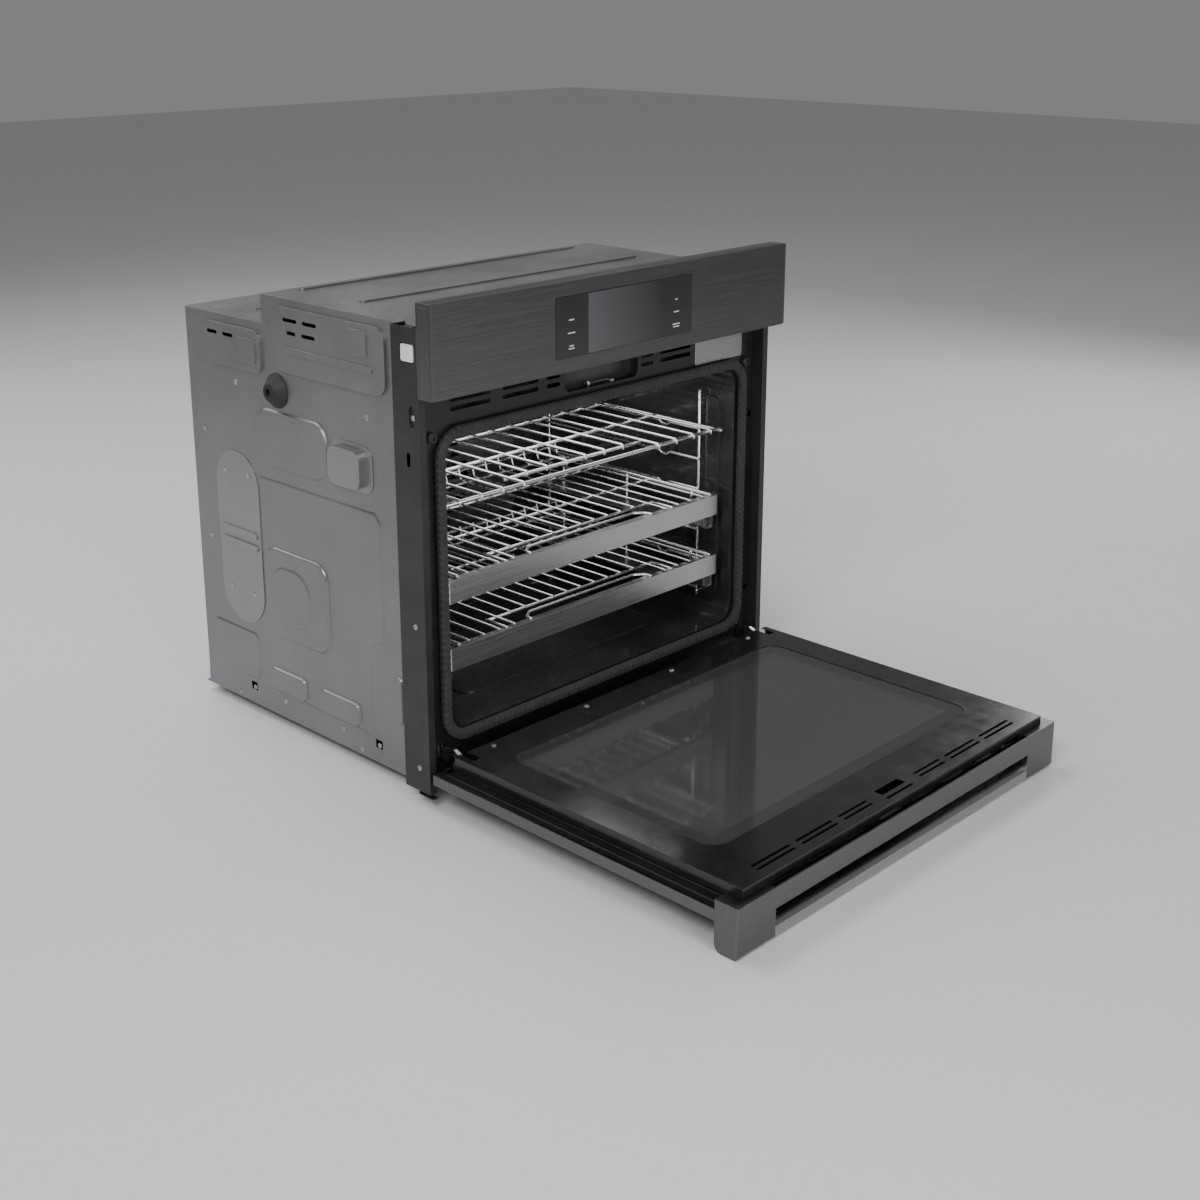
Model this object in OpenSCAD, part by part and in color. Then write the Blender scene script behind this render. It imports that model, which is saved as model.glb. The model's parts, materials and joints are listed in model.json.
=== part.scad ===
// Built-in single wall oven, drop-down door open and three racks in place.
// Frame: X to the right, Y into the oven, Z up, millimetres.
// The origin is the middle of the casing's underside, below the front face of the side trims.

/* [Casing] */
// Half width of the galvanised casing
case_hw = 352; // [340:1:360]
// Rear face of the deep lower part of the casing
case_y = 600; // [590:1:620]
// Rear face of the raised upper box
box_y = 392; // [380:1:410]
// Top of the raised upper box
box_z = 690; // [680:1:700]
// Top of the low rear part of the casing
rear_z = 645; // [635:1:655]
// Height of the seam between side panel and upper cover
seam_z = 551; // [545:1:555]
// Height of the base tray's side walls
tray_z = 38; // [34:1:42]
// Sheet thickness
sheet = 1.2; // [0.8:0.1:1.5]

/* [Front frame and trims] */
// Half width over the side trims
trim_hw = 378; // [376:1:380]
// Depth of the side trims
trim_d = 55; // [45:1:60]
// Front face of the black frame behind the door
frame_y = 20; // [18:1:22]
// Inner edge of the side trims and outer edge of the frame
frame_hw = 366; // [360:1:368]

/* [Control panel] */
// Half width of the control panel, handle and door skin
wide_hw = 379; // [378:1:382]
// Bottom edge of the control panel
panel_z0 = 598; // [596:1:602]
// Top edge of the control panel
panel_z1 = 730; // [720:1:740]
// How far the control panel stands in front of the trims
panel_d = 31; // [25:1:35]
// Half width of the touch glass
glass_hw = 147; // [120:1:160]

/* [Cavity] */
// Half width of the oven cavity
cav_hw = 318; // [312:1:320]
// Cavity floor height
cav_z0 = 84; // [80:1:88]
// Cavity ceiling height
cav_z1 = 530; // [520:1:534]
// Rear wall of the cavity
cav_y = 480; // [470:1:490]
// Corner radius of the cavity mouth
cav_r = 34; // [25:1:40]

/* [Racks] */
// Radius of the ladder's upright wires
post_r = 2.5; // [2:0.1:3]
// Radius of the rungs
rung_r = 2.2; // [1.8:0.1:2.4]
// Height of the rung that carries the low glide rack
rung_low = 128; // [126:1:130]
// Height of the rung that carries the middle glide rack
rung_mid = 234; // [232:1:236]
// Height of the rung that carries the top rack
rung_top = 412; // [410:1:414]
// Spacing of the top rack's long wires
top_pitch = 42.7; // [40:0.1:44]
// Spacing of the glide racks' long wires
glide_pitch = 31; // [28:0.5:32]

/* [Door, drawn open] */
// Hinge axis, distance in front of the trims
hinge_y = -21.8; // [-22.5:0.1:-21]
// Hinge axis height
hinge_z = 41.8; // [41:0.1:42.5]
// Outer skin face, which points down when the door is open
skin_z = 27; // [26:0.5:28]
// Inner liner face, which points up when the door is open
liner_z = 70.6; // [70:0.1:71]
// Half width of the liner
liner_hw = 356; // [350:1:360]
// Length of the slotted front edge of the liner from the trims
liner_y = -562; // [-564:1:-560]
// Half width of the inner window opening
win_hw = 303; // [280:1:305]

/* [Handle] */
// Front face of the handle
grip_y = -574; // [-576:1:-572]
// Lowest point of the handle with the door open
grip_z = -15; // [-18:1:-12]
// Half length between the end caps
grip_hw = 303; // [295:1:310]

/* [Hidden] */
$fn = 48;
in_hw = case_hw - sheet;
fy1 = frame_y + sheet;
liner_in = liner_z - sheet;
skin_in = skin_z + sheet;
skin_end = -536.8;
// Middle of the convection fan and of the cooling blower
fan_z = 307;
blow_y = 250;
blow_z = 620;
// Front faces of the racks, and the pivot of the door lock
rack_front = 36.5;
lock_x = -16;
lock_y = 34;
rungs = [rung_low, rung_low + 53, rung_mid, rung_top - 106, rung_top - 53, rung_top];
slot_groups = [[57, 121], [135, 213], [226, 305]];
tray_screws = [[467, 30], [384, 30], [234, 30], [146, 30], [510, 10], [190, 10]];
side_screws = [[565, 450], [565, 270], [470, 541], [146, 541]];
trim_screws = [[21, 263], [22, 44]];
// Holes for the screws into the cabinet, in the trims' rear flanges
trim_hole_x = 359;
trim_hole_z = [130, 440];
plate_screws = [[514, 393], [451, 393], [513, 195], [451, 195]];
lip_screws = [[-292, -42], [-98, -42], [98, -42], [292, -42]];

// ---- helpers -------------------------------------------------------------

// Box given by its two corners along each axis
module box(x0, x1, y0, y1, z0, z1) {
    translate([x0, y0, z0]) cube([x1 - x0, y1 - y0, z1 - z0]);
}

// Rounded rectangle given by its edges, drawn from squares and circles
module rrect(a0, a1, b0, b1, r) {
    translate([a0 + r, b0]) square([a1 - a0 - 2 * r, b1 - b0]);
    translate([a0, b0 + r]) square([a1 - a0, b1 - b0 - 2 * r]);
    for (a = [a0 + r, a1 - r]) {
        for (b = [b0 + r, b1 - r]) {
            translate([a, b]) circle(r = r);
        }
    }
}

// Ring between two rounded rectangles, w wide inwards from the outer one
module rring(a0, a1, b0, b1, r, w) {
    difference() {
        rrect(a0, a1, b0, b1, r);
        rrect(a0 + w, a1 - w, b0 + w, b1 - w, max(r - w, 0.6));
    }
}

// Extrude an X-Z outline along Y
module along_y(y0, y1) {
    translate([0, y1, 0]) rotate([90, 0, 0]) linear_extrude(height = y1 - y0) children();
}

// Extrude a Y-Z outline along X
module along_x(x0, x1) {
    translate([x0, 0, 0]) rotate([90, 0, 90]) linear_extrude(height = x1 - x0) children();
}

// Extrude an X-Y outline along Z
module along_z(z0, z1) {
    translate([0, 0, z0]) linear_extrude(height = z1 - z0) children();
}

// Both hands of a part drawn for the right
module both() {
    children();
    mirror([1, 0, 0]) children();
}

// Straight round wire between two points
module wire(a, b, r) {
    d = b - a;
    reach = norm(d);
    translate(a) rotate([0, acos(d[2] / reach), atan2(d[1], d[0])]) cylinder(h = reach, r = r);
}

// Round wire through a list of points; the knuckle at each bend is k larger than the wire
module wire_path(p, r, k = 0.25) {
    for (i = [0 : len(p) - 2]) {
        wire(p[i], p[i + 1], r);
    }
    for (i = [1 : 1 : len(p) - 2]) {
        translate(p[i]) sphere(r = r + k);
    }
}

// Bent wire that lies in the Y-Z plane at x
module side_wire(x, p, r, k = 0.25) {
    wire_path([for (q = p) [x, q[0], q[1]]], r, k);
}

// Pan head screw, head up, tip down, with a cross recess
module screw(l) {
    difference() {
        union() {
            cylinder(h = 1, r = 4.2);
            translate([0, 0, 1]) cylinder(h = 1, r1 = 4.2, r2 = 2.8);
            translate([0, 0, -l]) cylinder(h = l, r = 1.9);
        }
        box(-2.6, 2.6, -0.5, 0.5, 1, 3);
        box(-0.5, 0.5, -2.6, 2.6, 1, 3);
    }
}

// ---- casing --------------------------------------------------------------

// Pressed pads of the side panel; h is the rise, d shrinks them for the hollow
module side_pad(d, h, y0, y1, z0, z1, r) {
    along_x(d > 0 ? -2 : 0, d > 0 ? h : h + sheet) rrect(y0 + d, y1 - d, z0 + d, z1 - d, r - d);
}

// Low step that covers the lower front of the side panel
module side_step(d) {
    p = [[421 - d, 399 - d], [137 + d, 399 - d], [126 + d, 388 - d], [126 + d, 203 + d],
        [161 + d, 186 + d], [161 + d, 43 + d], [421 - d, 43 + d]];
    along_x(d > 0 ? -2 : 0, d > 0 ? 1.6 : 1.6 + sheet) polygon(p);
}

// Triangular stiffening bulge near the front edge
module side_bulge(d) {
    p = [[86 + d, 180 - 2 * d], [122 - d, 112], [122 - d, 100], [86 + d, 74 + 2 * d]];
    along_x(d > 0 ? -2 : 0, d > 0 ? 4 : 4 + sheet) polygon(p);
}

module side_pads(d) {
    side_pad(d, 4, 243, 419, 423, 512, 30);
    side_step(d);
    side_pad(d, 5, 256, 414, 143, 289, 28);
    side_pad(d, 7, 299, 396, 169, 262, 38);
    side_pad(d, 6, 325, 414, 46, 83, 8);
    side_pad(d, 6, 190, 283, 46, 83, 8);
    side_bulge(d);
    side_pad(d, 2, 451, 572, 46, 126, 10);
}

// Side panel with its inner face at X = 0, outside towards +X
module side_sheet() {
    difference() {
        union() {
            along_x(0, sheet) translate([fy1, tray_z]) square([case_y - fy1, seam_z - tray_z]);
            along_x(0, sheet) for (y = [140, 462]) translate([y, 24]) square([16, 14.5]);
            side_pads(0);
        }
        side_pads(sheet);
        for (p = concat(side_screws, tray_screws)) {
            translate([-5, p[0], p[1]]) rotate([0, 90, 0]) cylinder(h = 12, r = 2);
        }
    }
}

module side_panel_right() {
    color("silver") translate([in_hw, 0, 0]) side_sheet();
}

module side_panel_left() {
    color("silver") difference() {
        mirror([1, 0, 0]) translate([in_hw, 0, 0]) side_sheet();
        for (p = plate_screws) {
            translate([-case_hw - 8, p[0], p[1]]) rotate([0, 90, 0]) cylinder(h = 12, r = 2);
        }
        translate([-case_hw - 8, 362, 545]) rotate([0, 90, 0]) cylinder(h = 12, r = 9);
        box(-case_hw - 8, -in_hw + 5, 168, 214, 442, 474);
    }
}

// Base tray with notched side walls and a lip that sticks out at the rear
module base_tray() {
    color("silver") difference() {
        union() {
            box(-case_hw, case_hw, fy1, case_y, 0, sheet);
            box(-case_hw, -in_hw, fy1, case_y, 0, tray_z);
            box(in_hw, case_hw, fy1, case_y, 0, tray_z);
            box(-case_hw, case_hw, case_y, case_y + sheet, 0, 24);
            box(-case_hw, case_hw, case_y, case_y + 10, 0, sheet);
        }
        for (y = [140, 462]) {
            box(-case_hw - 1, case_hw + 1, y, y + 16, 24, tray_z + 1);
        }
        for (p = tray_screws) {
            translate([-case_hw - 1, p[0], p[1]]) rotate([0, 90, 0]) cylinder(h = 3, r = 2);
            translate([in_hw - 1, p[0], p[1]]) rotate([0, 90, 0]) cylinder(h = 3, r = 2);
        }
        for (y = [120 : 120 : 500]) {
            along_z(-1, 3) rrect(-230, -130, y, y + 8, 3.9);
            along_z(-1, 3) rrect(130, 230, y, y + 8, 3.9);
        }
    }
}

module back_panel() {
    color("silver") difference() {
        union() {
            box(-in_hw, in_hw, case_y - sheet, case_y, sheet, rear_z - sheet);
            along_y(case_y, case_y + 3) rrect(-260, 260, 190, 420, 30);
        }
        along_y(case_y - 2, case_y + 3 - sheet) rrect(-259, 259, 191, 419, 29);
        box(160, 280, case_y - 3, case_y + 1, 560, 636);
        for (z = [470 : 14 : 540]) {
            along_y(case_y - 3, case_y + 5) rrect(-250, -90, z, z + 6, 2.9);
        }
    }
}

// Outline of the upper cover from the side; d insets it for the hollow
function cover_outline(d) = [[fy1 - 5 * d, seam_z - d], [fy1 - 5 * d, box_z - d], [box_y - d, box_z - d],
    [box_y - d, rear_z - d], [case_y + 5 * d, rear_z - d], [case_y + 5 * d, seam_z - d]];

module cover_pads(d) {
    side_pad(d, 4, 98, 361, 578, 677, 22);
    side_pad(d, 6, 125, 334, 608, 618, 4);
    side_pad(d, 6, 136, 185, 630, 668, 7);
    side_pad(d, 4, 396, 546, 564, 631, 16);
    side_pad(d, 6, 408, 456, 578, 617, 7);
}

module upper_cover() {
    color("silver") difference() {
        union() {
            along_x(-case_hw, case_hw) polygon(cover_outline(0));
            both() translate([in_hw, 0, 0]) cover_pads(0);
            for (y = [218, 366]) {
                along_z(box_z - 1, box_z + 3) rrect(-296, 296, y, y + 12, 5.9);
            }
            along_z(rear_z - 1, rear_z + 3) rrect(-296, 296, 480, 492, 5.9);
        }
        along_x(-in_hw, in_hw) polygon(cover_outline(sheet));
        both() translate([in_hw, 0, 0]) cover_pads(sheet);
        for (y = [218, 366]) {
            along_z(box_z - 4, box_z + 3 - sheet) rrect(-294.8, 294.8, y + 1.2, y + 10.8, 4.7);
        }
        along_z(rear_z - 4, rear_z + 3 - sheet) rrect(-294.8, 294.8, 481.2, 490.8, 4.7);
        for (a = [[299, 334], [252, 286]]) {
            along_x(-400, 400) rrect(a[0], a[1], 656, 662, 2.9);
        }
        for (a = [[303, 325], [256, 289]]) {
            along_x(-400, 400) rrect(a[0], a[1], 637, 643, 2.9);
        }
        for (a = [[509, 536], [466, 494]]) {
            along_x(-400, 400) rrect(a[0], a[1], 612, 618, 2.9);
        }
        for (y = [60 : 44 : 360]) {
            translate([-330, y, box_z - 3]) cylinder(h = 6, r = 2);
        }
        translate([-case_hw - 8, 362, 545]) rotate([0, 90, 0]) cylinder(h = 12, r = 9);
    }
}

// ---- front frame and trims -------------------------------------------------

module cav_outline(d) {
    rrect(-cav_hw + d, cav_hw - d, cav_z0 + d, cav_z1 - d, cav_r - d);
}

module front_frame() {
    color("dimgray") difference() {
        box(-frame_hw, frame_hw, frame_y, fy1, 0, box_z);
        along_y(frame_y - 1, fy1 + 1) cav_outline(0);
        along_y(frame_y - 1, fy1 + 1) rrect(-79, 81, 551, 612, 12);
        for (z = [564, 577]) {
            for (s = [-1, 1]) {
                for (a = [[89, 116], [133, 205], [228, 305]]) {
                    along_y(frame_y - 1, fy1 + 1) rrect(s > 0 ? a[0] : -a[1], s > 0 ? a[1] : -a[0], z, z + 6.4, 3.1);
                }
            }
        }
        both() box(332, 344, frame_y - 1, fy1 + 1, 42, 70);
        both() translate([342, frame_y - 1, 533]) rotate([-90, 0, 0]) cylinder(h = 4, r = 5);
        both() for (z = trim_hole_z) {
            translate([trim_hole_x, frame_y - 1, z]) rotate([-90, 0, 0]) cylinder(h = 4, r = 5);
        }
    }
}

// Folded side trim for the right, with a pocket for the spacer block and a screw pocket
module trim_shape() {
    difference() {
        union() {
            box(frame_hw, trim_hw, 0, sheet, 7, 694);
            box(trim_hw - sheet, trim_hw, 0, trim_d, 7, 694);
            box(frame_hw, frame_hw + sheet, 0, fy1, 7, 694);
            box(case_hw, trim_hw, trim_d - sheet, trim_d, 7, 694);
            along_x(trim_hw - 4, trim_hw) rrect(6, 38, 643, 673, 6);
            along_x(trim_hw - 4, trim_hw) rrect(8, 22, 554, 586, 6.9);
            box(frame_hw + sheet, trim_hw - sheet, 12, 32, 7, 8.2);
            box(frame_hw + sheet, trim_hw - sheet, 12, 32, 692.8, 694);
            box(frame_hw + 2, trim_hw - 2, 26, 28, 0, 9);
            box(frame_hw + 0.4, trim_hw - 2, -3, 28, 0, 1.5);
        }
        along_x(trim_hw - 4 + sheet, trim_hw + 1) rrect(7.2, 36.8, 644.2, 671.8, 4.8);
        along_x(trim_hw - 4 + sheet, trim_hw + 1) rrect(9.2, 20.8, 555.2, 584.8, 5.7);
        along_x(trim_hw - 5, trim_hw + 1) rrect(21, 29, 497, 518, 3.9);
        translate([trim_hw - 6, 15, 568]) rotate([0, 90, 0]) cylinder(h = 8, r = 2);
        for (p = trim_screws) {
            translate([trim_hw - 6, p[0], p[1]]) rotate([0, 90, 0]) cylinder(h = 8, r = 2);
        }
        for (z = trim_hole_z) {
            translate([trim_hole_x, trim_d - 3, z]) rotate([-90, 0, 0]) cylinder(h = 4, r = 2.6);
        }
        translate([357, 40, 0]) cube([12, 16, 9]);
    }
}

module side_trim_right() {
    color("darkgray") trim_shape();
}

module side_trim_left() {
    color("darkgray") mirror([1, 0, 0]) trim_shape();
}

module spacer_blocks() {
    color("whitesmoke") both() along_x(trim_hw - 4 + sheet, trim_hw - 0.2) rrect(9, 35, 646, 670, 3);
}

// Two rubber bumpers that the closed door rests on
module frame_bumpers() {
    color("dimgray") both() translate([342, frame_y, 533]) rotate([90, 0, 0]) difference() {
        union() {
            cylinder(h = 5, r = 8.5);
            translate([0, 0, 5]) cylinder(h = 2.5, r1 = 8.5, r2 = 6);
            translate([0, 0, -4]) cylinder(h = 4, r = 5);
        }
        translate([0, 0, 4]) cylinder(h = 5, r = 3.2);
    }
}

// ---- cavity ----------------------------------------------------------------

// Groove pressed into each side wall, a ring standing away from the cavity
module wall_groove(d) {
    both() along_x(cav_hw - 4 + d, cav_hw + 3 + sheet - d) difference() {
        rrect(41 - sheet + d, 448 + sheet - d, 104 - sheet + d, 482 + sheet - d, 26);
        rrect(53 + sheet - d, 436 - sheet + d, 116 + sheet - d, 470 - sheet + d, 16);
    }
}

module cavity_shell() {
    color("dimgray") difference() {
        union() {
            along_y(fy1, cav_y + sheet) cav_outline(-sheet);
            along_y(fy1, fy1 + sheet) rrect(-345, 345, 62, 545, 50);
            wall_groove(0);
            along_z(cav_z0 - 3.4, cav_z0) rring(-230, 230, 90, 400, 40, 14);
        }
        along_y(fy1 - 1, cav_y) cav_outline(0);
        wall_groove(sheet);
        along_z(cav_z0 - 2.2, cav_z0 + 1) rring(-229, 229, 91, 399, 39, 12);
        translate([0, cav_y - 1, fan_z]) rotate([-90, 0, 0]) cylinder(h = 4, r = 8);
        both() box(331, 346, fy1 - 1, fy1 + 3, 40, 72);
        both() translate([342, fy1 - 1, 533]) rotate([-90, 0, 0]) cylinder(h = 4, r = 5.4);
    }
}

// Cover in front of the convection fan, with a slotted intake and side outlets
module fan_baffle() {
    color("dimgray") difference() {
        along_y(438, cav_y) rrect(-205, 205, 150, 464, 24);
        along_y(439.2, cav_y + 1) rrect(-203.8, 203.8, 151.2, 462.8, 22.8);
        for (i = [-4 : 4]) {
            w = sqrt(95 * 95 - i * i * 400);
            along_y(436, 441) rrect(-w, w, fan_z + i * 20 - 4, fan_z + i * 20 + 4, 3.9);
        }
        for (z = [180 : 24 : 430]) {
            along_x(-210, 210) rrect(446, 472, z, z + 10, 4.9);
        }
    }
}

module insulation() {
    color("khaki") difference() {
        box(-346, 346, 95, 505, 58, 549);
        box(-324, 324, 90, 483, 80, 533);
        translate([0, 480, fan_z]) rotate([-90, 0, 0]) cylinder(h = 30, r = 12);
        box(-350, -320, 165, 217, 438, 478);
    }
}

// Section of the gasket, 17 wide and 12.4 deep
module gasket_section() {
    translate([-2.3, 0]) circle(r = 6.2);
    translate([2.3, 0]) circle(r = 6.2);
    translate([-2.3, -6.2]) square([4.6, 12.4]);
}

// Quarter bend of the gasket, turned to corner k
module gasket_corner(x, z, k) {
    translate([x, 13.7, z]) rotate([90, 0, 0]) rotate([0, 0, k]) rotate_extrude(angle = 90) {
        translate([38, 0]) gasket_section();
    }
}

module door_gasket() {
    gx = 331;
    z0 = 75;
    z1 = 535.5;
    color("gray") {
        gasket_corner(gx - 38, z1 - 38, 0);
        gasket_corner(38 - gx, z1 - 38, 90);
        gasket_corner(38 - gx, z0 + 38, 180);
        gasket_corner(gx - 38, z0 + 38, 270);
        for (x = [-gx, gx]) {
            translate([x, 13.7, z0 + 38]) linear_extrude(height = z1 - z0 - 76) gasket_section();
        }
        for (z = [z0, z1]) {
            translate([38 - gx, 13.7, z]) rotate([0, 90, 0]) linear_extrude(height = 2 * gx - 76) {
                gasket_section();
            }
        }
    }
}

// Half loop of a sheathed element in a level plane
module loop_bend(x, y, r, k) {
    translate([x, y, 0]) rotate([0, 0, k]) rotate_extrude(angle = 180) {
        translate([r, 0]) circle(r = 3.5);
    }
}

module broil_element() {
    color("dimgray") translate([0, 0, 512]) {
        for (x = [-230, -138, -46, 46, 138, 230]) {
            translate([x, abs(x) > 200 ? cav_y : 408, 0]) rotate([90, 0, 0]) {
                cylinder(h = (abs(x) > 200 ? cav_y : 408) - 106, r = 3.5);
            }
        }
        for (x = [-184, 0, 184]) {
            loop_bend(x, 106, 46, 180);
        }
        for (x = [-92, 92]) {
            loop_bend(x, 408, 46, 0);
        }
    }
}

// Ring heater around the fan, with its two ends through the rear wall
module ring_element() {
    color("dimgray") {
        translate([0, 460, fan_z]) rotate([90, 0, 0]) rotate([0, 0, -80]) rotate_extrude(angle = 340) {
            translate([112, 0]) circle(r = 3.5);
        }
        for (k = [-80, 260]) {
            translate([112 * cos(k), 457.5, fan_z + 112 * sin(k)]) rotate([-90, 0, 0]) {
                cylinder(h = 22.5, r = 4.2);
            }
        }
    }
}

module heat_sensor() {
    color("silver") {
        translate([250, 360, 490]) rotate([-90, 0, 0]) cylinder(h = 120, r = 2.4);
        translate([250, 477, 490]) rotate([-90, 0, 0]) cylinder(h = 3, r = 9);
    }
}

module lamp_lens() {
    color("gainsboro") {
        along_x(-cav_hw, -cav_hw + 2.5) rrect(158, 226, 424, 466, 14);
        along_x(-cav_hw + 2.5, -cav_hw + 7) rrect(164, 220, 430, 460, 12);
    }
}

// ---- things on the left side -------------------------------------------------

module lamp_cover() {
    color("silver") difference() {
        union() {
            along_x(-case_hw - sheet, -case_hw) rrect(137, 233, 426, 497, 20);
            along_x(-case_hw - 12, -case_hw) rrect(155, 229, 431, 489, 15);
        }
        along_x(-case_hw - 12 + sheet, -case_hw + 1) rrect(156.2, 227.8, 432.2, 487.8, 13.8);
    }
}

module access_plate() {
    color("silver") difference() {
        union() {
            along_x(-case_hw - sheet, -case_hw) rrect(426, 539, 140, 428, 56);
            along_x(-case_hw - 4, -case_hw) rrect(434, 531, 290, 300, 4.9);
            along_x(-case_hw - 4, -case_hw) rrect(434, 531, 270, 280, 4.9);
        }
        along_x(-case_hw - 4 + sheet, -case_hw + 1) rrect(435.2, 529.8, 291.2, 298.8, 3.7);
        along_x(-case_hw - 4 + sheet, -case_hw + 1) rrect(435.2, 529.8, 271.2, 278.8, 3.7);
        for (p = plate_screws) {
            translate([-case_hw - 5, p[0], p[1]]) rotate([0, 90, 0]) cylinder(h = 8, r = 2);
        }
    }
}

module cone_grommet() {
    color("black") translate([-case_hw, 362, 545]) rotate([0, -90, 0]) rotate_extrude() {
        polygon([[6, -6], [8.9, -6], [8.9, 0], [27, 0], [27, 2], [14, 16], [10, 18], [6, 18]]);
    }
}

// ---- fans and control ------------------------------------------------------------

// Motor with its shaft end at the origin, axis up, body below
module motor() {
    difference() {
        union() {
            translate([0, 0, -48]) cylinder(h = 48, r = 30);
            translate([0, 0, -5]) linear_extrude(height = 5) rrect(-46, 46, -12, 12, 6);
        }
        translate([0, 0, -22]) cylinder(h = 23, r = 4.06);
        for (x = [-39, 39]) {
            translate([x, 0, -6]) cylinder(h = 7, r = 2.6);
        }
    }
}

module fan_motors() {
    color("gray") {
        translate([0, 505, fan_z]) rotate([90, 0, 0]) motor();
        translate([142, blow_y, blow_z]) rotate([0, -90, 0]) motor();
    }
}

module convection_fan() {
    color("silver") translate([0, 0, fan_z]) {
        translate([0, 446, 0]) rotate([-90, 0, 0]) cylinder(h = 78, r = 4);
        translate([0, 452, 0]) rotate([-90, 0, 0]) cylinder(h = 22, r = 12);
        translate([0, 472, 0]) rotate([-90, 0, 0]) cylinder(h = 2, r = 88);
        for (k = [0 : 30 : 330]) {
            rotate([0, k, 0]) box(36, 86, 450, 473, -0.8, 0.8);
        }
    }
}

module blower_housing() {
    color("silver") difference() {
        along_x(-142, 142) union() {
            translate([blow_y, blow_z]) circle(r = 52);
            translate([190, 568]) square([60, 52]);
            translate([196, 552.2]) square([108, 22]);
        }
        along_x(-138, 138) union() {
            translate([blow_y, blow_z]) circle(r = 50);
            translate([188, 570]) square([62, 40]);
        }
        along_x(-138, 138) translate([blow_y, blow_z]) square([40, 60]);
        translate([-150, blow_y, blow_z]) rotate([0, 90, 0]) cylinder(h = 300, r = 9);
    }
}

// Cross-flow wheel: two discs, a ring of blades and a shaft
module blower_wheel() {
    color("gainsboro") translate([0, blow_y, blow_z]) rotate([0, 90, 0]) {
        for (z = [-132, -1, 130]) {
            translate([0, 0, z]) cylinder(h = 2, r = 46);
        }
        translate([0, 0, -132]) linear_extrude(height = 264) {
            for (k = [0 : 20 : 340]) {
                rotate(k) translate([34, -0.6]) square([11.5, 1.2]);
            }
        }
        translate([0, 0, -132]) cylinder(h = 294, r = 4);
    }
}

// Tray around the door lock, recessed behind the frame
module latch_bracket() {
    color("dimgray") difference() {
        union() {
            along_y(fy1, fy1 + 20) rrect(-84, 86, 546, 617, 14);
            translate([lock_x, lock_y, 546.5]) cylinder(h = 5, r = 9);
        }
        along_y(fy1 - 1, fy1 + 20 - sheet) rrect(-82.8, 84.8, 547.2, 615.8, 12.8);
        along_y(fy1, fy1 + 22) rrect(-14, 40, 578, 584, 2.9);
        translate([lock_x, lock_y, 540]) cylinder(h = 20, r = 3);
    }
}

// Lock hook, drawn unlocked; it swings about the upright pivot
module latch_hook() {
    color("gainsboro") translate([lock_x, lock_y, 0]) {
        along_z(552, 555) {
            circle(r = 5.6);
            translate([0, -3.5]) square([44, 7]);
            translate([38, -12]) square([7, 12]);
        }
        translate([0, 0, 543]) cylinder(h = 14, r = 2.94);
    }
}

module control_fascia() {
    pf = -panel_d;
    color("dimgray") difference() {
        union() {
            box(-wide_hw + 3, wide_hw - 3, pf, 0, panel_z0, panel_z1);
        }
        box(-wide_hw + 2, wide_hw - 2, pf + sheet, 1, panel_z0 + sheet, panel_z1 - sheet);
        along_y(pf - 1, pf + 4) rrect(-glass_hw - 0.2, glass_hw + 0.2, 618.8, 709.2, 2);
    }
    color("dimgray") difference() {
        along_y(pf + sheet, pf + 5.4) rring(-glass_hw - 4, glass_hw + 4, 615, 713, 4, 12);
        along_y(pf, pf + 2.4) rrect(-glass_hw - 0.2, glass_hw + 0.2, 618.8, 709.2, 2);
    }
}

module fascia_caps() {
    color("dimgray") both() difference() {
        along_x(wide_hw - 3, wide_hw) rrect(-panel_d, 0, panel_z0, panel_z1, 1.5);
        along_x(wide_hw - 0.6, wide_hw + 1) rring(-panel_d + 4, -4, panel_z0 + 5, panel_z1 - 5, 2, 1);
    }
}

module touch_glass() {
    color("black") along_y(-panel_d - 0.6, -panel_d + 2.4) rrect(-glass_hw, glass_hw, 619, 709, 1.5);
}

module control_board() {
    color("darkgreen") {
        box(-130, 130, -18, -16.4, 632, 696);
        for (x = [-110, 110]) {
            translate([x, -panel_d + 2.4, 664]) rotate([-90, 0, 0]) cylinder(h = panel_d - 20.4, r = 4);
        }
        box(-60, 60, -16.4, -6, 640, 688);
    }
}

module terminal_box() {
    color("silver") difference() {
        union() {
            box(160, 280, 552, case_y, 560, 636);
            box(154, 286, case_y, case_y + sheet, 554, 642);
        }
        box(161.2, 278.8, 553.2, case_y - 1, 561.2, 634.8);
        translate([250, case_y - 4, 598]) rotate([-90, 0, 0]) cylinder(h = 8, r = 11);
    }
}

// ---- racks ------------------------------------------------------------------------

// Chrome ladder for the right side wall
module ladder() {
    px = 309.5;
    rx = 305.4;
    for (y = [88, 452]) {
        translate([px, y, 112]) cylinder(h = 366, r = post_r);
        for (z = [120, 462]) {
            translate([px, y, z]) rotate([0, 90, 0]) cylinder(h = cav_hw - px, r = 2);
        }
    }
    for (z = rungs) {
        side_wire(rx, [[84, z], [150, z], [158, z - 5], [168, z - 5], [176, z], [456, z]], rung_r);
    }
}

module rack_supports() {
    color("gainsboro") both() ladder();
}

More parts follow.
